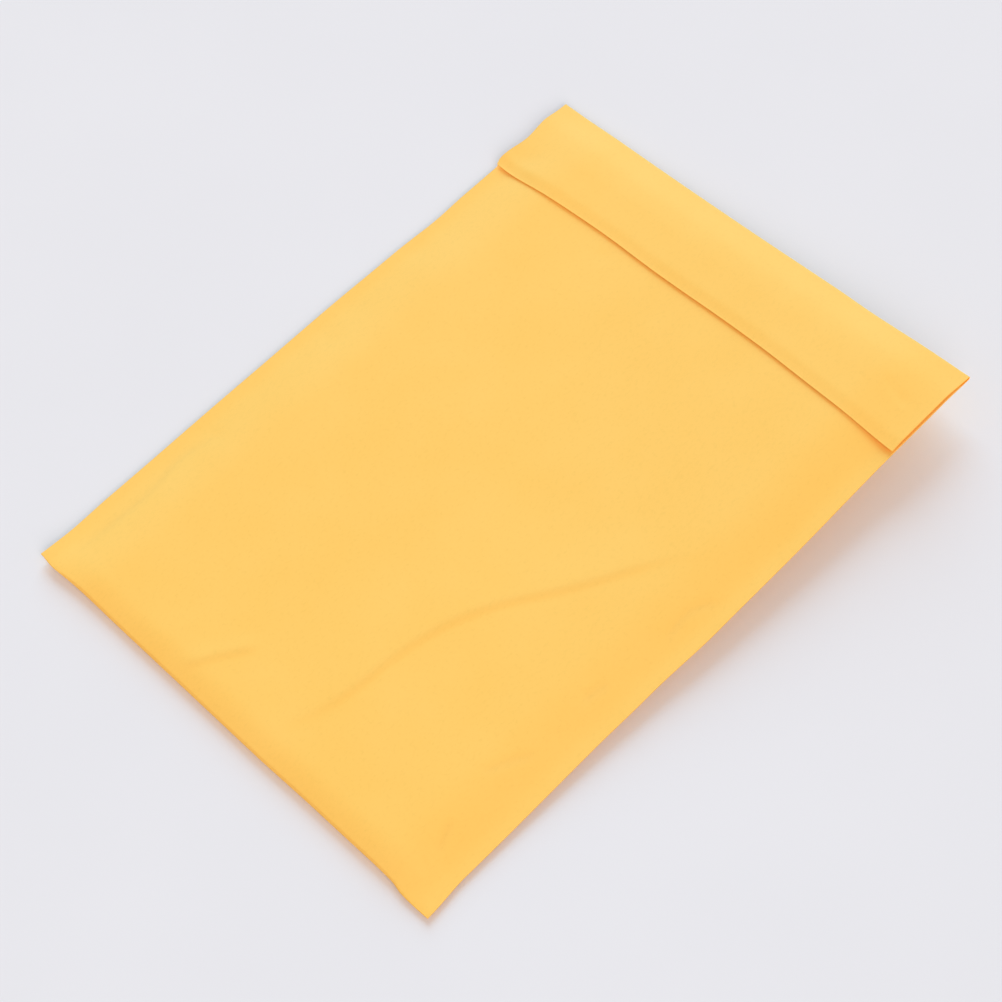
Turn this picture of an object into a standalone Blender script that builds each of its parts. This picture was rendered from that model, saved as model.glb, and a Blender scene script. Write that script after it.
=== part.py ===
"""Padded envelope: a kraft paper mailer with a bubble lining, lying flat with its flap folded over the front.

Metres, +Z up. The origin is at the middle of the space that the envelope covers, on the table.
+X is the envelope's width, +Y its length towards the flap's fold, and the front panel faces +Z.
One corner, the flap's right one, has sprung up off the table.
"""

import math

import bmesh
import bpy
from mathutils import Vector
from mathutils.geometry import delaunay_2d_cdt

# Envelope
WIDTH = 0.216
LENGTH = 0.291
THICKNESS = 0.0054
PAPER = 0.0003
CLEARANCE = 0.0003

# Side seams, where both panels are sealed together
SEAM_WIDTH = 0.009
SEAM_THICKNESS = 0.0007
SEAM_RISE = 0.0013
SHOULDER = 0.020
POCKET_EDGE = 0.001

# Bottom fold
BOTTOM_RUN = 0.012
BOTTOM_FILL = 0.35
BOTTOM_PULL = 0.001

# Mouth and the fold over it
MOUTH_SETBACK = 0.005
MOUTH_RUN = 0.022
MOUTH_FILL = 0.3

# Flap
FLAP_LENGTH = 0.0423
FLAP_SKEW = 0.0015
FLAP_GAP_AT_FOLD = 0.0004
FLAP_GAP = 0.00125
FLAP_GAP_RUN = 0.014
FLAP_SAG = 0.75
FLAP_SAG_RUN = 0.030
FLAP_BOW = 0.0029
FLAP_BOW_RUN = 0.072
FLAP_WAVE = 0.0002
FLAP_WAVE_LENGTH = 0.074

# Adhesive strip on the flap and the release strip over it
STRIP_WIDTH = 0.016
STRIP_FROM_EDGE = 0.008
STRIP_END = 0.013
STRIP_THICKNESS = 0.00015
RELEASE_OVERHANG = 0.0015

# Bubble lining
FILM = 0.0003
POCKET_GAP = 0.0004
LINER_INSET = 0.007
LINER_BOTTOM = 0.007
LINER_SETBACK = 0.001
BUBBLE_PITCH = 0.018
BUBBLE_BASE_RADIUS = 0.0065
BUBBLE_TOP_RADIUS = 0.0046
BUBBLE_MARGIN = 0.0015
RIM_WAVE = 0.003

# How it lies: the flap's right corner sprung up, and the left tip of the bottom fold turned up
CORNER_LIFT = 0.016
CORNER_START = 0.006
CORNER_EASE = 0.040
TIP_LIFT = 0.0024
TIP_REACH = 0.030

# Facets
SEAM_STEPS = 1
SHOULDER_STEPS = 5
MIDDLE_STEPS = 6
PANEL_STEPS = 16
POCKET_STEPS = 11
FLAP_STEPS = 5
TOP_ARC_STEPS = 6
BOTTOM_ARC_STEPS = 5
STRIP_STEPS = 22
RIM_STEP = 0.0105
BACKING_STEP = 0.021
BACKING_EDGE_STEP = 0.0065
ROWS_NEAR_BOTTOM = (0.3, 0.62, 1)
ROWS_NEAR_MOUTH = (1, 0.66, 0.4)
BUBBLE_SIDES = 6
SHARP_ANGLE = math.radians(35)
SAME_POINT = 1e-7
INSIDE_LOOPS = 1

HALF_WIDTH = WIDTH / 2
HALF_LENGTH = LENGTH / 2
MOUTH_Y = HALF_LENGTH - MOUTH_SETBACK
PAD_EDGE = SEAM_WIDTH + SHOULDER
LOW, HIGH = -1, 1


def clamp(value, low=0.0, high=1.0):
    return max(low, min(high, value))


def swell(t):
    """Rises from 0 and flattens at 1, as padding does away from a seam."""
    return math.sin(math.pi / 2 * clamp(t))


def smooth(t):
    t = clamp(t)
    return t * t * (3 - 2 * t)


def spaced(start, end, steps):
    return [start + (end - start) * i / steps for i in range(steps + 1)]


# Padding thickness, as a share of the full thickness


def fill_across(x):
    return swell((HALF_WIDTH - abs(x) - SEAM_WIDTH) / SHOULDER)


def fill_at_mouth(y):
    return MOUTH_FILL + (1 - MOUTH_FILL) * swell((HALF_LENGTH - y) / MOUTH_RUN)


def fill(x, y):
    at_bottom = BOTTOM_FILL + (1 - BOTTOM_FILL) * swell((y + HALF_LENGTH) / BOTTOM_RUN)
    return fill_across(x) * at_bottom * fill_at_mouth(y)


# Heights above the table before the corner springs up


def stack(share):
    """The envelope's thickness where its padding has this share of its full thickness."""
    return SEAM_THICKNESS + (THICKNESS - SEAM_THICKNESS) * share


def back_height(x, y):
    return SEAM_RISE * (1 - fill(x, y))


def front_height(x, y):
    return back_height(x, y) + stack(fill(x, y))


def flap_height(x, y):
    """The flap's underside. It spans the shoulders of the padding, so it droops less than the front."""
    droop = FLAP_SAG * (1 - smooth((HALF_WIDTH - abs(x)) / FLAP_SAG_RUN))
    share = (1 - droop) * fill_at_mouth(y)
    opened = smooth((HALF_LENGTH - y) / FLAP_GAP_RUN)
    gap = FLAP_GAP_AT_FOLD + (FLAP_GAP - FLAP_GAP_AT_FOLD) * opened
    return SEAM_RISE * (1 - share) + stack(share) + gap


def flap_edge(x):
    """The cut edge of the flap: shorter between its ends, longer at the right one, and a little wavy."""
    bow = FLAP_BOW * smooth((HALF_WIDTH - abs(x)) / FLAP_BOW_RUN)
    wave = FLAP_WAVE * math.sin(2 * math.pi * x / FLAP_WAVE_LENGTH)
    return HALF_LENGTH - FLAP_LENGTH - FLAP_SKEW * x / WIDTH + bow + wave


# How it lies on the table

DIAGONAL = Vector((LENGTH, WIDTH)).normalized()
CORNER_REACH = DIAGONAL.dot(Vector((HALF_WIDTH, HALF_LENGTH))) - CORNER_START
CORNER_SLOPE = CORNER_LIFT / (math.hypot(CORNER_REACH, CORNER_EASE) - CORNER_EASE)
TO_TIP = Vector((-HALF_WIDTH, -HALF_LENGTH)).normalized()
TIP_START = math.hypot(HALF_WIDTH, HALF_LENGTH) - TIP_REACH


def lay(x, y, z):
    """A point of the flat envelope, moved to where it lies with the corner and the tip turned up."""
    place = Vector((x, y))
    u = max(0.0, DIAGONAL.dot(place) - CORNER_START)
    root = math.hypot(u, CORNER_EASE)
    slope = DIAGONAL * (CORNER_SLOPE * u / root)
    lift = CORNER_SLOPE * (root - CORNER_EASE)
    drawn_in = CORNER_SLOPE**2 / 2 * (u - CORNER_EASE * math.atan(u / CORNER_EASE))
    t = max(0.0, TO_TIP.dot(place) - TIP_START) / TIP_REACH
    lift += TIP_LIFT * t * t
    slope += TO_TIP * (2 * TIP_LIFT * t / TIP_REACH)
    upright = math.sqrt(1 + slope.length_squared)
    place -= DIAGONAL * drawn_in + slope * (z / upright)
    return Vector((place.x, place.y, lift + z / upright))


# Objects and materials


def new_material(name, colour, roughness, alpha=1.0):
    material = bpy.data.materials.new(name)
    material.use_nodes = True
    shader = material.node_tree.nodes["Principled BSDF"]
    shader.inputs["Base Color"].default_value = (*colour, 1)
    shader.inputs["Roughness"].default_value = roughness
    shader.inputs["Metallic"].default_value = 0
    shader.inputs["Alpha"].default_value = alpha
    return material


def new_object(name, bm, material, collection):
    mesh = bpy.data.meshes.new(name)
    bm.to_mesh(mesh)
    bm.free()
    mesh.shade_smooth()
    mesh.set_sharp_from_angle(angle=SHARP_ANGLE)
    mesh.materials.append(material)
    made = bpy.data.objects.new(name, mesh)
    collection.objects.link(made)
    return made


# Kraft envelope: one sheet folded at the bottom, sealed at both sides, its back panel running on as the flap


def stations():
    """Places across the width, closest together over the padding's shoulders."""
    shoulder = spaced(SEAM_WIDTH + POCKET_EDGE, PAD_EDGE, SHOULDER_STEPS)
    middle = spaced(PAD_EDGE, HALF_WIDTH, MIDDLE_STEPS)[1:]
    from_edge = spaced(0.0, SEAM_WIDTH, SEAM_STEPS) + shoulder + middle
    left = [-HALF_WIDTH + e for e in from_edge]
    return left + [-x for x in reversed(left[:-1])]


def bottom_radius(x):
    return stack(fill(x, -HALF_LENGTH)) / 2


def bottom_start(x):
    """Where the panels end and the bottom fold's curve begins."""
    return -HALF_LENGTH + BOTTOM_PULL * fill_across(x) + bottom_radius(x)


def panel_rows(x, steps):
    """Places along the panels from the bottom fold to the mouth, closer together near both."""
    near_bottom = [-HALF_LENGTH + BOTTOM_RUN * share for share in ROWS_NEAR_BOTTOM]
    near_mouth = [HALF_LENGTH - MOUTH_RUN * share for share in ROWS_NEAR_MOUTH]
    between = spaced(near_bottom[-1], near_mouth[0], steps)[1:-1]
    return [bottom_start(x)] + near_bottom + between + near_mouth + [MOUTH_Y]


def arc(centre_y, low, high, reach, steps, side):
    """Points round a fold, from low to high, bulging towards side along Y."""
    middle, half = (low + high) / 2, (high - low) / 2
    angles = spaced(-math.pi / 2, math.pi / 2, steps)[1:-1]
    return [(centre_y + side * reach * math.cos(a), middle + half * math.sin(a)) for a in angles]


def top_fold(x):
    """The radius of the fold over the mouth, and where its curve begins."""
    at = HALF_LENGTH - MOUTH_SETBACK / 2
    radius = (flap_height(x, at) + PAPER - back_height(x, at)) / 2
    return radius, HALF_LENGTH - radius


def flap_rows(x):
    return spaced(top_fold(x)[1], flap_edge(x), FLAP_STEPS)


def outer_chain(x):
    """The outside: down the front from the mouth, round the bottom, up the back and over to the flap's edge."""
    rows = panel_rows(x, PANEL_STEPS)
    start = bottom_start(x)
    low, high = back_height(x, start), front_height(x, start)
    chain = [(y, front_height(x, y)) for y in reversed(rows)]
    chain += reversed(arc(start, low, high, bottom_radius(x), BOTTOM_ARC_STEPS, LOW))
    radius, fold_y = top_fold(x)
    low, high = back_height(x, fold_y), flap_height(x, fold_y) + PAPER
    chain += [(y, back_height(x, y)) for y in rows + [fold_y]]
    chain += arc(fold_y, low, high, radius, TOP_ARC_STEPS, HIGH)
    return chain + [(y, flap_height(x, y) + PAPER) for y in flap_rows(x)]


def inner_chain(x):
    """The inside beyond the mouth, from the back panel at the mouth to the flap's edge."""
    radius, fold_y = top_fold(x)
    low = back_height(x, fold_y) + PAPER
    chain = [(y, back_height(x, y) + PAPER) for y in (MOUTH_Y, fold_y)]
    chain += arc(fold_y, low, flap_height(x, fold_y), radius - PAPER, TOP_ARC_STEPS, HIGH)
    return chain + [(y, flap_height(x, y)) for y in flap_rows(x)]


def pocket_chain(x):
    """The pocket's wall, from the front panel at the mouth down and round to the back panel short of the mouth."""
    rows = panel_rows(x, POCKET_STEPS)
    start = bottom_start(x)
    low, high = back_height(x, start) + PAPER, front_height(x, start) - PAPER
    chain = [(y, front_height(x, y) - PAPER) for y in reversed(rows)]
    chain += [(start - bottom_radius(x) + PAPER, (low + high) / 2)]
    return chain + [(y, back_height(x, y) + PAPER) for y in rows[:-1]]


def add_chain(bm, x, chain):
    return [bm.verts.new(lay(x, y, z)) for y, z in chain]


def skin(bm, one, other):
    """Quads between two chains of the same length."""
    for k in range(len(one) - 1):
        bm.faces.new((one[k], one[k + 1], other[k + 1], other[k]))


def close_side(bm, outside, inside):
    """The cut side of the envelope: the sealed panels, the single ply round the top fold, and the flap."""
    panel = len(panel_rows(0, PANEL_STEPS))
    front, around = outside[:panel], outside[panel : panel + BOTTOM_ARC_STEPS - 1]
    back = outside[panel + len(around) : 2 * panel + len(around)]
    beyond = outside[2 * panel + len(around) - 1 :]
    bm.faces.new((front[0], inside[0], back[-1], back[-2], front[1]))
    skin(bm, front[1:], back[-2::-1])
    bm.faces.new([front[-1]] + around + [back[0]])
    skin(bm, beyond, inside)


def close_pocket(bm, pocket):
    """The pocket's end, along a side seam."""
    half = len(pocket) // 2
    front, back = pocket[:half], pocket[: half : -1]
    skin(bm, front, back)
    bm.faces.new((front[-1], pocket[half], back[-1]))


def kraft_mesh():
    bm = bmesh.new()
    places = stations()
    outside = [add_chain(bm, x, outer_chain(x)) for x in places]
    inside = [add_chain(bm, x, inner_chain(x)) for x in places]
    first = SEAM_STEPS + 1
    last = len(places) - 1 - first
    pocket = {}
    for i in range(first, last + 1):
        pocket[i] = add_chain(bm, places[i], pocket_chain(places[i])) + [inside[i][0]]
    for i in range(len(places) - 1):
        skin(bm, outside[i], outside[i + 1])
        skin(bm, inside[i], inside[i + 1])
        bm.faces.new((outside[i][-1], outside[i + 1][-1], inside[i + 1][-1], inside[i][-1]))
        mouth = [outside[i + 1][0], outside[i][0]]
        if first <= i < last:
            skin(bm, pocket[i], pocket[i + 1])
            mouth += [pocket[i][0], pocket[i + 1][0]]
        else:
            mouth += [pocket[i][0]] if i == last else []
            mouth += [inside[i][0], inside[i + 1][0]]
            mouth += [pocket[i + 1][0]] if i + 1 == first else []
        bm.faces.new(mouth)
    for i in (first, last):
        close_pocket(bm, pocket[i])
    for i in (0, len(places) - 1):
        close_side(bm, outside[i], inside[i])
    bmesh.ops.recalc_face_normals(bm, faces=bm.faces)
    return bm


# Bubble lining: one web of film folded at the bottom, its bubbles facing into the pocket

LINER_HALF_WIDTH = HALF_WIDTH - SEAM_WIDTH - LINER_INSET
LINER_LOW = -HALF_LENGTH + LINER_BOTTOM
LINER_HIGH = MOUTH_Y - LINER_SETBACK
LINER_PANEL = LINER_HIGH - LINER_LOW
LINER_ARC = math.pi / 2 * (THICKNESS / 2 - PAPER - CLEARANCE)


def liner_room(x, y):
    """Half the height between the kraft panels, less the clearance."""
    return stack(fill(x, y)) / 2 - PAPER - CLEARANCE


def on_liner(x, s, bubble):
    """A point of the web.

    s runs from the fold's middle, up the front where positive and up the back where negative.
    bubble is None on the film's outside, 0 on its inside and 1 on top of a bubble.
    """
    along = clamp(abs(s) - LINER_ARC, 0, LINER_PANEL)
    y = LINER_LOW + along
    room = liner_room(x, y)
    most = room - POCKET_GAP / 2
    depth = 0.0 if bubble is None else FILM + (most - FILM) * bubble
    middle = back_height(x, y) + stack(fill(x, y)) / 2
    turn = clamp(s / LINER_ARC, -1, 1) * math.pi / 2
    radius = room - depth
    return lay(x, y - radius * math.cos(turn), middle + radius * math.sin(turn))


def liner_rim():
    """The web's outline, as (x, s) points in order round it. Its cut is a little wavy."""
    reach = LINER_ARC + LINER_PANEL
    across = spaced(-LINER_HALF_WIDTH, LINER_HALF_WIDTH, round(2 * LINER_HALF_WIDTH / RIM_STEP))
    panel = spaced(LINER_ARC, reach, round(LINER_PANEL / RIM_STEP))
    around = spaced(-LINER_ARC, LINER_ARC, BOTTOM_ARC_STEPS)
    along = [-s for s in reversed(panel)] + around[1:-1] + panel
    rim = [(x, -reach) for x in across[:-1]]
    rim += [(LINER_HALF_WIDTH, s) for s in along[:-1]]
    rim += [(x, reach) for x in reversed(across[1:])]
    rim += [(-LINER_HALF_WIDTH, s) for s in reversed(along[1:])]
    inward = [1 - RIM_WAVE * (k % 2) for k in range(len(rim))]
    return [(x * share, s * share) for (x, s), share in zip(rim, inward)]


def closer_near_ends(start, end, start_run, end_run):
    """Places between start and end, close together over a run at each end, where the padding thins."""
    near_start = spaced(start, start + start_run, math.ceil(start_run / BACKING_EDGE_STEP))[1:-1]
    near_end = spaced(end - end_run, end, math.ceil(end_run / BACKING_EDGE_STEP))[1:-1]
    middle_run = end - end_run - start - start_run
    middle = spaced(start + start_run, end - end_run, math.ceil(middle_run / BACKING_STEP))
    return near_start + middle + near_end


def liner_columns():
    return closer_near_ends(-LINER_HALF_WIDTH, LINER_HALF_WIDTH, SHOULDER - LINER_INSET, SHOULDER - LINER_INSET)


def fold_points():
    """Rows of points along the lining's fold, so that it turns smoothly."""
    around = spaced(-LINER_ARC, LINER_ARC, BOTTOM_ARC_STEPS)
    return [(x, s) for s in around for x in liner_columns()]


def backing_points():
    """Points all over the film's outside, which is smooth."""
    thin_at_mouth = MOUTH_RUN - MOUTH_SETBACK - LINER_SETBACK
    up = closer_near_ends(LINER_ARC, LINER_ARC + LINER_PANEL, BOTTOM_RUN - LINER_BOTTOM, thin_at_mouth)
    return fold_points() + [(x, side * s) for s in up for x in liner_columns() for side in (LOW, HIGH)]


def bubble_centres():
    """Bubbles in staggered rows on both panels, clear of the rim and of the fold."""
    room_x = LINER_HALF_WIDTH - BUBBLE_BASE_RADIUS - BUBBLE_MARGIN
    room_s = LINER_PANEL - 2 * (BUBBLE_BASE_RADIUS + BUBBLE_MARGIN)
    row_step = BUBBLE_PITCH * math.sqrt(3) / 2
    rows = int(room_s / row_step)
    first = LINER_ARC + BUBBLE_BASE_RADIUS + BUBBLE_MARGIN + (room_s - rows * row_step) / 2
    columns = int(room_x / BUBBLE_PITCH)
    centres = []
    for row in range(rows + 1):
        shift = BUBBLE_PITCH / 2 * (row % 2)
        for column in range(-columns - 1, columns + 1):
            x = column * BUBBLE_PITCH + shift
            if abs(x) <= room_x:
                centres += [(x, side * (first + row * row_step)) for side in (LOW, HIGH)]
    return centres


def ring(x, s, radius):
    """A bubble's outline, with a flat side towards each of its neighbours."""
    angles = [2 * math.pi * (k + 0.5) / BUBBLE_SIDES for k in range(BUBBLE_SIDES)]
    return [(x + radius * math.cos(a), s + radius * math.sin(a)) for a in angles]


def filled(points, loops):
    """Triangles between the points and inside the loops, with every loop's edges kept."""
    edges = [(loop[k - 1], loop[k]) for loop in loops for k in range(len(loop))]
    flat = [Vector(point) for point in points]
    _, _, faces, origins, _, _ = delaunay_2d_cdt(flat, edges, [], INSIDE_LOOPS, SAME_POINT)
    return [tuple(origins[v][0] for v in face) for face in faces]


def liner_mesh():
    bm = bmesh.new()
    rim = liner_rim()
    rim_loop = list(range(len(rim)))
    backing = rim + backing_points()
    film = rim + fold_points()
    heights = [0.0] * len(film)
    loops = [rim_loop]
    for x, s in bubble_centres():
        for radius, height in ((BUBBLE_BASE_RADIUS, 0.0), (BUBBLE_TOP_RADIUS, 1.0)):
            loops.append(list(range(len(film), len(film) + BUBBLE_SIDES)))
            film += ring(x, s, radius)
            heights += [height] * BUBBLE_SIDES
    outside = [bm.verts.new(on_liner(x, s, None)) for x, s in backing]
    inside = [bm.verts.new(on_liner(x, s, h)) for (x, s), h in zip(film, heights)]
    for face in filled(backing, [rim_loop]):
        bm.faces.new([outside[v] for v in face])
    for face in filled(film, loops):
        bm.faces.new([inside[v] for v in face])
    for k in rim_loop:
        before = rim_loop[k - 1]
        bm.faces.new((outside[before], outside[k], inside[k], inside[before]))
    bmesh.ops.recalc_face_normals(bm, faces=bm.faces)
    return bm


# Adhesive strip and release strip, under the flap


def strip(name, below, overhang, material, collection):
    """A flat strip that follows the flap's underside, this far below it."""
    half = HALF_WIDTH - STRIP_END + overhang
    low = STRIP_FROM_EDGE - overhang
    high = STRIP_FROM_EDGE + STRIP_WIDTH + overhang
    bm = bmesh.new()
    bmesh.ops.create_grid(bm, x_segments=STRIP_STEPS, y_segments=2, size=1)
    for vert in bm.verts:
        x = half * vert.co.x
        y = HALF_LENGTH - FLAP_LENGTH + low + (high - low) * (vert.co.y + 1) / 2
        vert.co = lay(x, y, flap_height(x, y) - below)
    made = new_object(name, bm, material, collection)
    solid = made.modifiers.new("thickness", "SOLIDIFY")
    solid.thickness = STRIP_THICKNESS
    solid.offset = -1
    return made


def main():
    for old in list(bpy.data.objects):
        bpy.data.objects.remove(old, do_unlink=True)
    parts = bpy.data.collections.new("padded_envelope")
    bpy.context.scene.collection.children.link(parts)
    kraft = new_material("kraft_paper", (0.98, 0.58, 0.15), 0.72)
    film = new_material("bubble_film", (0.86, 0.89, 0.9), 0.25, alpha=0.6)
    adhesive = new_material("hot_melt_adhesive", (0.93, 0.88, 0.7), 0.35)
    release = new_material("release_paper", (0.93, 0.93, 0.91), 0.3)
    new_object("kraft_envelope", kraft_mesh(), kraft, parts)
    new_object("bubble_liner", liner_mesh(), film, parts)
    strip("adhesive_strip", CLEARANCE, 0.0, adhesive, parts)
    strip("release_strip", 2 * CLEARANCE + STRIP_THICKNESS, RELEASE_OVERHANG, release, parts)


main()
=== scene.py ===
"""Padded envelope: its paper, lining and strips as they look, on a pale table, seen as in the photograph."""

import math

import bmesh
import bpy
import numpy as np
from mathutils import Matrix, Vector


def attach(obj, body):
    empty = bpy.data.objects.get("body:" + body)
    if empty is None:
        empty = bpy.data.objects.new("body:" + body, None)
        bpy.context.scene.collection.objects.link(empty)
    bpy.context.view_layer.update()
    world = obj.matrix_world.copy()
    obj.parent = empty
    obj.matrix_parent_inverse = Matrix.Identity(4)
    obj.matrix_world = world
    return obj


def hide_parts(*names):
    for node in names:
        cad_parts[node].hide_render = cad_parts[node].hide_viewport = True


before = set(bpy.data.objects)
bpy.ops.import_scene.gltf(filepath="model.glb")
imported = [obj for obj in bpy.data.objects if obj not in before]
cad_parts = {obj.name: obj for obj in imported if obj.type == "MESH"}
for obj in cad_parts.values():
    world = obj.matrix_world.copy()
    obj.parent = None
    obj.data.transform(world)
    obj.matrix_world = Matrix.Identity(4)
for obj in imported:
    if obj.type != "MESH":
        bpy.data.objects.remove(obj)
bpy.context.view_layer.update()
scene = bpy.context.scene


# Camera, solved from the photograph's corners: its place, its right and up directions, and its lens

EYE = Vector((0.42226, -0.32239, 0.89051))
RIGHT = Vector((0.70315, 0.70662, -0.07917))
UP = Vector((-0.58536, 0.63848, 0.49970))
LENS = 96.31
SENSOR_WIDTH = 36

camera_data = bpy.data.cameras.new("camera")
camera_data.sensor_width = SENSOR_WIDTH
camera_data.lens = LENS
camera = bpy.data.objects.new("camera", camera_data)
backward = RIGHT.cross(UP)
camera.matrix_world = Matrix.Translation(EYE) @ Matrix((RIGHT, UP, backward)).transposed().to_4x4()
scene.collection.objects.link(camera)
scene.camera = camera


# The envelope's sizes in metres, as in the solids

WIDTH = 0.216
LENGTH = 0.291
THICKNESS = 0.0054
PAPER = 0.0003

SEAM_WIDTH = 0.009
SEAM_THICKNESS = 0.0007
SEAM_RISE = 0.0013
SHOULDER = 0.020

BOTTOM_RUN = 0.012
BOTTOM_FILL = 0.35
BOTTOM_PULL = 0.001

MOUTH_SETBACK = 0.005
MOUTH_RUN = 0.022
MOUTH_FILL = 0.3

FLAP_LENGTH = 0.0423
FLAP_SKEW = 0.0015
FLAP_WAVE = 0.0002
FLAP_WAVE_LENGTH = 0.074
FLAP_BOW = 0.0029
FLAP_BOW_RUN = 0.072
FLAP_GAP_AT_FOLD = 0.0004
FLAP_GAP = 0.00125
FLAP_GAP_RUN = 0.014
FLAP_SAG = 0.75
FLAP_SAG_RUN = 0.030

CORNER_LIFT = 0.016
CORNER_START = 0.006
CORNER_EASE = 0.040
TIP_LIFT = 0.0024
TIP_REACH = 0.030

HALF_WIDTH = WIDTH / 2
HALF_LENGTH = LENGTH / 2
MOUTH_Y = HALF_LENGTH - MOUTH_SETBACK
DIAGONAL = np.array((LENGTH, WIDTH)) / math.hypot(LENGTH, WIDTH)
CORNER_REACH = DIAGONAL @ (HALF_WIDTH, HALF_LENGTH) - CORNER_START
CORNER_SLOPE = CORNER_LIFT / (math.hypot(CORNER_REACH, CORNER_EASE) - CORNER_EASE)
TO_TIP = -np.array((HALF_WIDTH, HALF_LENGTH)) / math.hypot(HALF_WIDTH, HALF_LENGTH)
TIP_START = math.hypot(HALF_WIDTH, HALF_LENGTH) - TIP_REACH

# Here the padding starts softly beside the seams, which have a crease along them in the solids

SOFT_SEAM = 0.004
SOFT_SHOULDER = 0.026
SOFT_START = 0.15


def swell(t):
    """From 0 to 1, steep at first, as padding rises from a seam."""
    return np.sin(np.pi / 2 * np.clip(t, 0, 1))


def smooth(t):
    """From 0 to 1, gentle at both ends."""
    t = np.clip(t, 0, 1)
    return t * t * (3 - 2 * t)


def bell(t):
    return np.exp(-t * t)


def fill_across(x):
    t = np.clip((HALF_WIDTH - abs(x) - SOFT_SEAM) / SOFT_SHOULDER, 0, 1)
    return swell(t * t * (1 + SOFT_START) / (t + SOFT_START))


def fill_at_mouth(y):
    return MOUTH_FILL + (1 - MOUTH_FILL) * swell((HALF_LENGTH - y) / MOUTH_RUN)


def fill(x, y):
    """The share of the padding's full thickness at each place."""
    at_bottom = BOTTOM_FILL + (1 - BOTTOM_FILL) * swell((y + HALF_LENGTH) / BOTTOM_RUN)
    return fill_across(x) * at_bottom * fill_at_mouth(y)


def stack(share):
    """The envelope's thickness for a share of the padding."""
    return SEAM_THICKNESS + (THICKNESS - SEAM_THICKNESS) * share


def back_height(x, y):
    return SEAM_RISE * (1 - fill(x, y))


def plain_front(x, y):
    return back_height(x, y) + stack(fill(x, y))


def lay(x, y, z):
    """Points of the flat envelope, moved to where they lie with the corner and the tip turned up."""
    u = np.maximum(0, DIAGONAL[0] * x + DIAGONAL[1] * y - CORNER_START)
    root = np.hypot(u, CORNER_EASE)
    lift = CORNER_SLOPE * (root - CORNER_EASE)
    drawn_in = CORNER_SLOPE**2 / 2 * (u - CORNER_EASE * np.arctan(u / CORNER_EASE))
    t = np.maximum(0, TO_TIP[0] * x + TO_TIP[1] * y - TIP_START) / TIP_REACH
    lift = lift + TIP_LIFT * t * t
    slope_x = DIAGONAL[0] * CORNER_SLOPE * u / root + TO_TIP[0] * 2 * TIP_LIFT * t / TIP_REACH
    slope_y = DIAGONAL[1] * CORNER_SLOPE * u / root + TO_TIP[1] * 2 * TIP_LIFT * t / TIP_REACH
    upright = np.sqrt(1 + slope_x**2 + slope_y**2)
    at_x = x - DIAGONAL[0] * drawn_in - slope_x * z / upright
    at_y = y - DIAGONAL[1] * drawn_in - slope_y * z / upright
    return np.stack([at_x, at_y, lift + z / upright], -1)


# Wear: what handling has done to the paper. Places and heights in metres

# The front panel's creases: places along each, its height, and how wide its steep and gentle sides are
LONG_CREASE = (
    (0.013, -0.1415),
    (0.0191, -0.1244),
    (0.0244, -0.1066),
    (0.0264, -0.0724),
    (0.0367, -0.0431),
    (0.0567, -0.0153),
    (0.0725, 0.0128),
    (0.0874, 0.0299),
)
CREASES = (
    (LONG_CREASE, 0.00052, 0.0014, 0.020),
    (((-0.031, -0.141), (-0.022, -0.126), (-0.013, -0.113)), 0.00036, 0.0011, 0.005),
    (((-0.099, -0.138), (-0.096, -0.098), (-0.101, -0.081), (-0.095, -0.060)), -0.00019, 0.0010, 0.0024),
    (((0.089, -0.114), (0.095, -0.126)), -0.00020, 0.0008, 0.0022),
    (((0.084, -0.096), (0.088, -0.086), (0.095, -0.074)), -0.00020, 0.0008, 0.0022),
    (((0.092, -0.050), (0.094, -0.036)), -0.00019, 0.0008, 0.0022),
    (((0.098, -0.013), (0.094, 0.004), (0.103, 0.016)), -0.00020, 0.0008, 0.0022),
)
CREASE_FADE = 0.25
CORNER_ROUNDS = 3
CORNER_CUT = 0.25
# How far the shade painted along each crease reaches to either side of it
CREASE_SHADE_REACH = 0.0016

# The front panel's dents: place, height, and how far each reaches
DENTS = (
    (-0.096, -0.064, -0.00018, 0.004),
    (-0.096, -0.001, -0.00020, 0.006),
    (-0.102, 0.051, -0.00020, 0.006),
    (-0.042, 0.099, -0.00020, 0.004),
    (0.047, 0.043, -0.00012, 0.0016),
    (0.017, -0.038, 0.00012, 0.0012),
)

# The flap's marks: a hollow at its left end, and a faint fold at its right end
FLAP_HOLLOW = (-0.1005, 0.1105, -0.0007, 0.007)
FLAP_FOLD = (((0.084, 0.126), (0.092, 0.121), (0.101, 0.120)), -0.0002, 0.0012, 0.003)

# The flap's cut edge curls down by a share of the gap under it, and more where it is pressed, at its left end
EDGE_SHARE = 0.45
EDGE_RUN = 0.006
PRESSED_SHARE = 0.9
PRESSED_AT = -0.0980
PRESSED_REACH = 0.014


def rounded(line):
    """The line with its corners cut a few times over, which makes it a smooth curve."""
    points = np.array(line)
    for _ in range(CORNER_ROUNDS):
        near = points[:-1] * (1 - CORNER_CUT) + points[1:] * CORNER_CUT
        far = points[:-1] * CORNER_CUT + points[1:] * (1 - CORNER_CUT)
        points = np.vstack([points[:1], np.stack([near, far], 1).reshape(-1, 2), points[-1:]])
    return points


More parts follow.
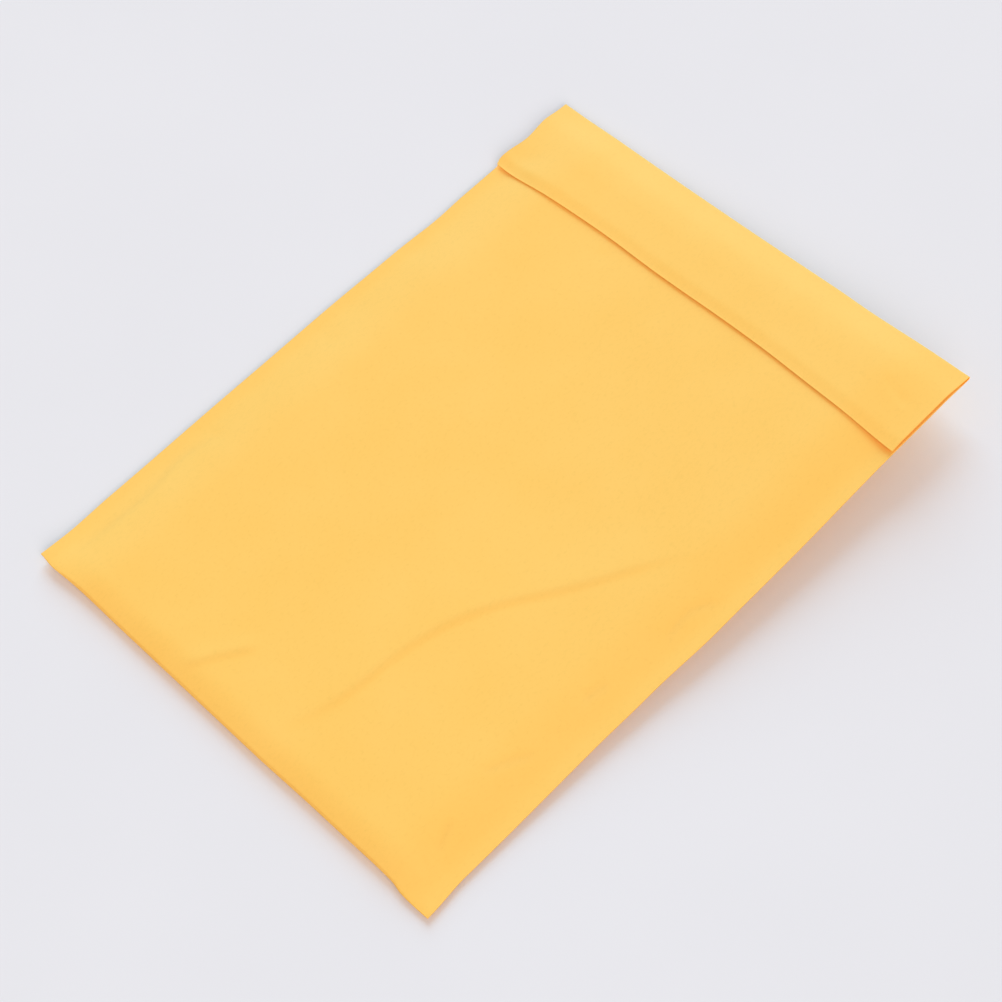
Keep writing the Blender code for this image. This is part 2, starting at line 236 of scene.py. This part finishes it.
def along(x, y, line):
    """Signed distance to a line, positive on its right, and the share of its length reached there."""
    points = rounded(line)
    lengths = np.hypot(*np.diff(points, axis=0).T)
    total = lengths.sum()
    best = np.full(np.shape(x), np.inf)
    side = np.zeros(np.shape(x))
    share = np.zeros(np.shape(x))
    done = 0.0
    for start, end, length in zip(points[:-1], points[1:], lengths):
        direction = (end - start) / length
        from_x = x - start[0]
        from_y = y - start[1]
        at = np.clip(from_x * direction[0] + from_y * direction[1], 0, length)
        off_x = from_x - at * direction[0]
        off_y = from_y - at * direction[1]
        distance = np.hypot(off_x, off_y)
        right = np.sign(off_x * direction[1] - off_y * direction[0])
        nearer = distance < best
        best = np.where(nearer, distance, best)
        side = np.where(nearer, right, side)
        share = np.where(nearer, (done + at) / total, share)
        done += length
    return best * side, share


def ends(share):
    """Fades a crease in and out towards its ends."""
    return smooth(share / CREASE_FADE) * smooth((1 - share) / CREASE_FADE)


def crease(x, y, line, height, steep, gentle):
    distance, share = along(x, y, line)
    return height * ends(share) * bell(distance / np.where(distance > 0, steep, gentle))


def dent(x, y, at_x, at_y, height, reach):
    return height * bell(np.hypot(x - at_x, y - at_y) / reach)


def front_height(x, y):
    """The front panel with its creases and dents."""
    x, y = np.broadcast_arrays(x, y)
    relief = sum(crease(x, y, *values) for values in CREASES)
    return plain_front(x, y) + (relief + sum(dent(x, y, *values) for values in DENTS))


def crease_shade(x, y):
    """How much shade is painted along the creases, from 0 to 1."""
    x, y = np.broadcast_arrays(x, y)
    marks = 0 * x
    for line, *_ in CREASES:
        distance, share = along(x, y, line)
        marks = np.maximum(marks, ends(share) * bell(distance / CREASE_SHADE_REACH))
    return marks


def flap_edge(x):
    bow = FLAP_BOW * smooth((HALF_WIDTH - abs(x)) / FLAP_BOW_RUN)
    wave = FLAP_WAVE * np.sin(2 * np.pi * x / FLAP_WAVE_LENGTH)
    return HALF_LENGTH - FLAP_LENGTH - FLAP_SKEW * x / WIDTH + bow + wave


def flap_height(x, y):
    """The flap's underside."""
    x, y = np.broadcast_arrays(x, y)
    droop = FLAP_SAG * (1 - smooth((HALF_WIDTH - abs(x)) / FLAP_SAG_RUN))
    share = (1 - droop) * fill_at_mouth(y)
    gap = FLAP_GAP_AT_FOLD + (FLAP_GAP - FLAP_GAP_AT_FOLD) * smooth((HALF_LENGTH - y) / FLAP_GAP_RUN)
    pressed = EDGE_SHARE + (PRESSED_SHARE - EDGE_SHARE) * bell((x - PRESSED_AT) / PRESSED_REACH)
    gap = gap * (1 - pressed * (1 - smooth((y - flap_edge(x)) / EDGE_RUN)))
    marks = dent(x, y, *FLAP_HOLLOW) + crease(x, y, *FLAP_FOLD)
    return SEAM_RISE * (1 - share) + stack(share) + gap + marks


# The true outline: how far each side lies outside the plain rectangle, at places along it

RIGHT_SIDE = (
    (-0.1455, 0.0000),
    (-0.1250, -0.0014),
    (-0.0600, -0.0017),
    (-0.0300, -0.0012),
    (0.0050, 0.0001),
    (0.0500, 0.0004),
    (0.0950, 0.0000),
    (0.1300, 0.0003),
    (0.1455, 0.0007),
)
LEFT_SIDE = (
    (-0.1455, -0.0009),
    (-0.1340, -0.0009),
    (-0.1100, 0.0000),
    (-0.0400, 0.0006),
    (0.0080, 0.0009),
    (0.0450, 0.0005),
    (0.0680, -0.0004),
    (0.0850, 0.0001),
    (0.1030, 0.0002),
    (0.1070, 0.0014),
    (0.1100, 0.0013),
    (0.1210, 0.0000),
    (0.1340, 0.0014),
    (0.1400, 0.0011),
    (0.1455, 0.0012),
)
BOTTOM_SIDE = (
    (-0.1080, 0.0005),
    (-0.1000, 0.0012),
    (-0.0900, 0.0010),
    (-0.0500, 0.0010),
    (0.0150, 0.0011),
    (0.0500, 0.0006),
    (0.0885, 0.0004),
    (0.0945, 0.0011),
    (0.1080, 0.0006),
)
FOLD_SIDE = (
    (-0.1080, 0.0003),
    (-0.0720, 0.0009),
    (0.0000, 0.0007),
    (0.0400, 0.0008),
    (0.0600, 0.0005),
    (0.0950, 0.0010),
    (0.1080, 0.0010),
)
SPREAD_FROM_X = 0.055
SPREAD_FROM_Y = 0.095


def eased(points, at):
    """A smooth line through the points."""
    places, values = np.array(points).T
    number = np.clip(np.searchsorted(places, at) - 1, 0, len(places) - 2)
    share = (at - places[number]) / (places[number + 1] - places[number])
    return values[number] + (values[number + 1] - values[number]) * smooth(share)


def spread(x, y):
    """Moves places of the plain rectangle to the true outline."""
    x, y = np.broadcast_arrays(x, y)
    run_x = HALF_WIDTH - SPREAD_FROM_X
    run_y = HALF_LENGTH - SPREAD_FROM_Y
    right = eased(RIGHT_SIDE, y) * smooth((x - SPREAD_FROM_X) / run_x)
    left = eased(LEFT_SIDE, y) * smooth((-x - SPREAD_FROM_X) / run_x)
    top = eased(FOLD_SIDE, x) * smooth((y - SPREAD_FROM_Y) / run_y)
    bottom = eased(BOTTOM_SIDE, x) * smooth((-y - SPREAD_FROM_Y) / run_y)
    return x + right - left, y + top - bottom


# The paper: one sheet folded at the bottom, sealed at both sides, running on as the flap

ROWS = 200
FLAP_ROWS = 34
POCKET_ROWS = 24
FOLD_ROWS = 7
FOLD_ROWS_FROM = 0.3
COLUMNS_SEAM = 6
COLUMNS_SHOULDER = 15
COLUMNS_MIDDLE = 54
TOP_ARC = 10
BOTTOM_ARC = 8
POCKET_EDGE = 0.001
SHARP_ANGLE = 40
OUTSIDE = 0
INSIDE = 1


def columns():
    """Places across the width, closer together at the seams."""
    seam = np.linspace(0, SEAM_WIDTH, COLUMNS_SEAM)
    shoulder = np.linspace(SEAM_WIDTH + POCKET_EDGE, SEAM_WIDTH + SHOULDER, COLUMNS_SHOULDER)
    middle = np.linspace(SEAM_WIDTH + SHOULDER, HALF_WIDTH, COLUMNS_MIDDLE)[1:]
    left = np.concatenate([seam, shoulder, middle]) - HALF_WIDTH
    return np.concatenate([left, -left[-2::-1]])


def bottom_radius(x):
    return stack(fill(x, -HALF_LENGTH)) / 2


def bottom_start(x):
    return -HALF_LENGTH + BOTTOM_PULL * fill_across(x) + bottom_radius(x)


def panel_rows(x, count):
    """Rows of y from the bottom fold to the mouth, one column for each x."""
    near = -HALF_LENGTH + BOTTOM_RUN * np.linspace(FOLD_ROWS_FROM, 1, FOLD_ROWS)
    rows = np.concatenate([near, np.linspace(near[-1], MOUTH_Y, count - FOLD_ROWS)[1:]])
    return np.vstack([bottom_start(x)[None], np.repeat(rows[:, None], len(x), 1)])


def arc(centre_y, low, high, reach, steps, side):
    """Half a turn from the low height to the high one, without its ends, as rows of y and z."""
    angles = np.linspace(-np.pi / 2, np.pi / 2, steps + 1)[1:-1, None]
    return centre_y + side * reach * np.cos(angles), (low + high) / 2 + (high - low) / 2 * np.sin(angles)


def pocket_chain(x):
    """The pocket's wall, down the front and up the back."""
    rows = panel_rows(x, POCKET_ROWS)
    low = back_height(x, rows[0]) + PAPER
    high = plain_front(x, rows[0]) - PAPER
    end = (rows[0] - bottom_radius(x) + PAPER)[None]
    front_z = plain_front(x, rows[::-1]) - PAPER
    back_z = back_height(x, rows[:-1]) + PAPER
    return np.vstack([rows[::-1], end, rows[:-1]]), np.vstack([front_z, ((low + high) / 2)[None], back_z])


def paper_chains(x):
    """The outside, the inside beyond the mouth, and the pocket's wall, each as rows of y and of z."""
    up = panel_rows(x, ROWS)
    down = up[::-1]
    start = up[0]
    low = back_height(x, start)
    high = front_height(x, start)
    around_y, around_z = arc(start, low, high, bottom_radius(x), BOTTOM_ARC, -1)

    at_fold = HALF_LENGTH - MOUTH_SETBACK / 2
    radius = (flap_height(x, at_fold) + PAPER - back_height(x, at_fold)) / 2
    fold_y = HALF_LENGTH - radius
    up = np.vstack([up, fold_y[None]])
    low = back_height(x, fold_y)
    high = flap_height(x, fold_y)
    over_y, over_z = arc(fold_y, low, high + PAPER, radius, TOP_ARC, 1)
    in_y, in_z = arc(fold_y, low + PAPER, high, radius - PAPER, TOP_ARC, 1)

    share = np.linspace(0, 1, FLAP_ROWS + 1)[:, None]
    flap_y = fold_y + (flap_edge(x) - fold_y) * share
    flap_z = flap_height(x, flap_y)
    mouth = np.vstack([np.full(len(x), MOUTH_Y), fold_y])
    outside = (
        np.vstack([down, around_y[::-1], up, over_y, flap_y]),
        np.vstack([front_height(x, down), around_z[::-1], back_height(x, up), over_z, flap_z + PAPER]),
    )
    inside = (
        np.vstack([mouth, in_y, flap_y]),
        np.vstack([back_height(x, mouth) + PAPER, in_z, flap_z]),
    )
    return outside, inside, pocket_chain(x)


def skin(one, other):
    """Faces between two rows of points."""
    return [(one[k], one[k + 1], other[k + 1], other[k]) for k in range(len(one) - 1)]


def panel_faces(outside, inside, pocket):
    """The skins between neighbouring columns, the flap's cut edge, and the rim at the mouth."""
    first = COLUMNS_SEAM
    last = len(outside) - 1 - COLUMNS_SEAM
    faces = []
    for i in range(len(outside) - 1):
        faces += skin(outside[i], outside[i + 1])
        faces += skin(inside[i], inside[i + 1])
        faces.append((outside[i][-1], outside[i + 1][-1], inside[i + 1][-1], inside[i][-1]))
        rim = [outside[i + 1][0], outside[i][0]]
        if first <= i < last:
            faces += skin(pocket[i] + inside[i][:1], pocket[i + 1] + inside[i + 1][:1])
            rim += [pocket[i][0], pocket[i + 1][0]]
        else:
            rim += [pocket[i][0]] if i == last else []
            rim += [inside[i][0], inside[i + 1][0]]
            rim += [pocket[i + 1][0]] if i + 1 == first else []
        faces.append(tuple(rim))
    for i in (first, last):
        faces += pocket_end(pocket[i] + inside[i][:1])
    return faces


def pocket_end(chain):
    """Closes the pocket along a side seam."""
    half = len(chain) // 2
    front = chain[:half]
    back = chain[:half:-1]
    return skin(front, back) + [(front[-1], chain[half], back[-1])]


def side_faces(outside, inside):
    """Closes the paper along one of its sides, at the seam and the flap."""
    back_from = ROWS + BOTTOM_ARC - 1
    front = outside[:ROWS]
    around = outside[ROWS:back_from]
    back = outside[back_from : back_from + ROWS]
    beyond = outside[back_from + ROWS - 1 :]
    faces = [(front[0], inside[0], back[-1], back[-2], front[1])]
    faces += skin(front[1:], back[-2::-1])
    faces.append(tuple([front[-1]] + around + [back[0]]))
    return faces + skin(beyond, inside)


def paper_mesh():
    """The sheet as one closed mesh, with the share of shade painted along the creases at each point."""
    x = columns()
    chains = paper_chains(x)
    points = []
    numbers = []
    count = 0
    for y, z in chains:
        points.append(lay(*spread(x, y), z).reshape(-1, 3))
        numbers.append(count + np.arange(y.size).reshape(y.shape).T)
        count += y.size
    marks = [np.zeros(y.shape) for y, _ in chains]
    front = slice(ROWS + 1)
    marks[0][front] = crease_shade(x, chains[0][0][front])
    inner_points = set(np.concatenate(numbers[1:], axis=None).tolist())

    outside, inside, pocket = (number.tolist() for number in numbers)
    faces = panel_faces(outside, inside, pocket)
    for i in (0, len(x) - 1):
        faces += side_faces(outside[i], inside[i])
    mesh = bpy.data.meshes.new("kraft_paper")
    mesh.from_pydata(np.vstack(points).tolist(), [], faces)
    # Each point's share of the shade painted along the creases
    crease_shade_share = mesh.attributes.new("crease_shade", "FLOAT", "POINT")
    crease_shade_share.data.foreach_set("value", np.concatenate(marks, axis=None))

    bm = bmesh.new()
    bm.from_mesh(mesh)
    for face in bm.faces:
        inner = sum(v.index in inner_points for v in face.verts)
        face.material_index = INSIDE if inner > 1 else OUTSIDE
    loose = [v for v in bm.verts if not v.link_faces]
    bmesh.ops.delete(bm, geom=loose, context="VERTS")
    bmesh.ops.recalc_face_normals(bm, faces=bm.faces)
    bm.to_mesh(mesh)
    bm.free()
    mesh.shade_smooth()
    mesh.set_sharp_from_angle(angle=math.radians(SHARP_ANGLE))
    return mesh


# Materials

WHITE = (1.0, 1.0, 1.0)
PAPER_THIN = (0.964, 0.583, 0.124)
PAPER_THICK = (0.955, 0.566, 0.111)
# The inner faces: a more saturated orange, painted to stand in for the warm light that shines through the
# thin paper into the gap under the flap
INSIDE_GLOW_THIN = (1.0, 0.545, 0.065)
INSIDE_GLOW_THICK = (0.99, 0.525, 0.055)
FLECK = (0.955, 0.955, 0.92)
FLECK_SHARE = 0.8
# Painted shade: the paper is a little darker along its creases, standing in for the shade in them
PAINTED_CREASE_SHADE = (0.968, 0.966, 0.975)
TABLE_DARK = (0.770, 0.770, 0.805)
TABLE_LIGHT = (0.782, 0.782, 0.817)


class Nodes:
    """A material's nodes, with its Principled shader."""

    def __init__(self, name, roughness):
        self.material = bpy.data.materials.new(name)
        self.material.use_nodes = True
        self.tree = self.material.node_tree
        self.shader = self.tree.nodes["Principled BSDF"]
        self.shader.inputs["Roughness"].default_value = roughness
        self.place = self.add("ShaderNodeTexCoord").outputs["Object"]

    def add(self, kind, **settings):
        node = self.tree.nodes.new(kind)
        for key, value in settings.items():
            setattr(node, key, value)
        return node

    def link(self, source, target):
        self.tree.links.new(source, target)

    def noise(self, scale, detail=3, roughness=0.5, stretch=None):
        node = self.add("ShaderNodeTexNoise")
        node.inputs["Scale"].default_value = scale
        node.inputs["Detail"].default_value = detail
        node.inputs["Roughness"].default_value = roughness
        source = self.place
        if stretch:
            mapping = self.add("ShaderNodeMapping")
            mapping.inputs["Scale"].default_value = stretch
            self.link(self.place, mapping.inputs["Vector"])
            source = mapping.outputs["Vector"]
        self.link(source, node.inputs["Vector"])
        return node.outputs["Fac"]

    def ramp(self, source, low, high, low_at=0.3, high_at=0.7):
        """A colour that runs from low to high as the source does between two values."""
        node = self.add("ShaderNodeValToRGB")
        first, last = node.color_ramp.elements
        first.position = low_at
        first.color = (*low, 1)
        last.position = high_at
        last.color = (*high, 1)
        self.link(source, node.inputs["Fac"])
        return node.outputs["Color"]

    def multiply(self, base, other, share=1.0):
        node = self.add("ShaderNodeMix", data_type="RGBA", blend_type="MULTIPLY")
        factor, first, second = node.inputs[0], node.inputs[6], node.inputs[7]
        factor.default_value = share
        self.link(base, first)
        self.link(other, second)
        return node.outputs[2]

    def bump(self, source, strength, distance):
        node = self.add("ShaderNodeBump")
        node.inputs["Strength"].default_value = strength
        node.inputs["Distance"].default_value = distance
        self.link(source, node.inputs["Height"])
        self.link(node.outputs["Normal"], self.shader.inputs["Normal"])

    def colour(self, source):
        self.link(source, self.shader.inputs["Base Color"])


def kraft_paper(name, thin, thick):
    """Paper that is a little paler where it is thin, with fine fibres, and shade painted along its creases.
    """
    m = Nodes(name, roughness=0.65)
    m.shader.inputs["Specular IOR Level"].default_value = 0.3
    cloud = m.noise(scale=28, detail=4, roughness=0.55)
    fibre = m.noise(scale=900, detail=4, roughness=0.65, stretch=(1, 0.55, 1))
    base = m.ramp(cloud, thick, thin)
    flecks = m.ramp(fibre, FLECK, WHITE, low_at=0.3, high_at=0.5)
    # A slightly darker line painted along each crease, standing in for the shade in it
    crease_shade_share = m.add("ShaderNodeAttribute", attribute_name="crease_shade").outputs["Fac"]
    crease_shaded = m.ramp(crease_shade_share, WHITE, PAINTED_CREASE_SHADE, low_at=0, high_at=1)
    m.colour(m.multiply(m.multiply(base, flecks, FLECK_SHARE), crease_shaded))
    m.bump(fibre, strength=0.09, distance=0.0002)
    return m.material


def bubble_film():
    m = Nodes("bubble_film_look", roughness=0.22)
    m.colour(m.ramp(m.noise(scale=60), (0.80, 0.84, 0.86), (0.90, 0.92, 0.93)))
    m.bump(m.noise(scale=240), strength=0.15, distance=0.0004)
    return m.material


def adhesive():
    m = Nodes("adhesive_look", roughness=0.35)
    m.colour(m.ramp(m.noise(scale=120), (0.88, 0.82, 0.62), (0.95, 0.90, 0.74)))
    m.bump(m.noise(scale=300, detail=2), strength=0.3, distance=0.0003)
    return m.material


def release_paper():
    m = Nodes("release_paper_look", roughness=0.28)
    m.colour(m.ramp(m.noise(scale=45), (0.90, 0.90, 0.885), (0.945, 0.945, 0.93)))
    m.bump(m.noise(scale=700), strength=0.05, distance=0.0002)
    return m.material


def table_top():
    m = Nodes("table_look", roughness=0.6)
    m.shader.inputs["Specular IOR Level"].default_value = 0.0
    m.colour(m.ramp(m.noise(scale=9, detail=4), TABLE_DARK, TABLE_LIGHT))
    return m.material


def dress(node, material):
    mesh = node.data
    mesh.materials.clear()
    mesh.materials.append(material)


# The pieces

paper = bpy.data.objects.new("kraft_paper", paper_mesh())
scene.collection.objects.link(paper)
paper.data.materials.append(kraft_paper("kraft_paper_look", PAPER_THIN, PAPER_THICK))
# The inner faces, the flap's underside and its cut edge get the more saturated orange that stands in for the
# warm light in the gap under the flap
paper.data.materials.append(kraft_paper("kraft_inside_painted_glow_look", INSIDE_GLOW_THIN, INSIDE_GLOW_THICK))
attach(paper, "root")
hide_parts("kraft_envelope")
dress(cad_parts["bubble_liner"], bubble_film())
dress(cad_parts["adhesive_strip"], adhesive())
dress(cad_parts["release_strip"], release_paper())


# Table

TABLE_REACH = 6

floor_mesh = bpy.data.meshes.new("table")
bm = bmesh.new()
bmesh.ops.create_grid(bm, x_segments=1, y_segments=1, size=TABLE_REACH)
bm.to_mesh(floor_mesh)
bm.free()
floor = bpy.data.objects.new("table", floor_mesh)
scene.collection.objects.link(floor)
floor_mesh.materials.append(table_top())


# Light: a cool lamp, a warm one and a warm world, which add up to white on a level face

LAMP_DISTANCE = 3
WORLD_COLOUR = (1.0, 0.82, 0.70, 1)
WORLD_STRENGTH = 0.51
BACKDROP_COLOUR = (0.80, 0.80, 0.83, 1)


def soft_lamp(name, towards, angle, strength, colour):
    """A far soft box: an even light from one direction, as wide as its angle in degrees."""
    data = bpy.data.lights.new(name, "SUN")
    data.angle = math.radians(angle)
    data.energy = strength
    data.color = colour
    light = bpy.data.objects.new(name, data)
    direction = Vector(towards).normalized()
    light.location = direction * LAMP_DISTANCE
    light.rotation_mode = "QUATERNION"
    light.rotation_quaternion = direction.to_track_quat("Z", "Y")
    scene.collection.objects.link(light)


soft_lamp("key", towards=(-0.72, 0.70, 0.51), angle=44, strength=2.98, colour=(0.44, 0.78, 1.0))
soft_lamp("side", towards=(0.86, -0.42, 0.78), angle=50, strength=1.72, colour=(1.0, 0.83, 0.74))

world = bpy.data.worlds.new("studio")
scene.world = world
world.use_nodes = True
tree = world.node_tree
background = tree.nodes["Background"]
background.inputs["Color"].default_value = WORLD_COLOUR
background.inputs["Strength"].default_value = WORLD_STRENGTH
backdrop = tree.nodes.new("ShaderNodeBackground")
backdrop.inputs["Color"].default_value = BACKDROP_COLOUR
backdrop.inputs["Strength"].default_value = 1.0

# Camera, glossy and transmission rays see the backdrop instead of the world's light
path = tree.nodes.new("ShaderNodeLightPath")
choose = tree.nodes.new("ShaderNodeMixShader")
either = path.outputs["Is Camera Ray"]
for other in ("Is Glossy Ray", "Is Transmission Ray"):
    larger = tree.nodes.new("ShaderNodeMath")
    larger.operation = "MAXIMUM"
    tree.links.new(either, larger.inputs[0])
    tree.links.new(path.outputs[other], larger.inputs[1])
    either = larger.outputs["Value"]
tree.links.new(either, choose.inputs["Fac"])
tree.links.new(background.outputs["Background"], choose.inputs[1])
tree.links.new(backdrop.outputs["Background"], choose.inputs[2])
tree.links.new(choose.outputs["Shader"], tree.nodes["World Output"].inputs["Surface"])

scene.view_settings.view_transform = "Standard"
scene.cycles.diffuse_bounces = 12
scene.cycles.max_bounces = 16
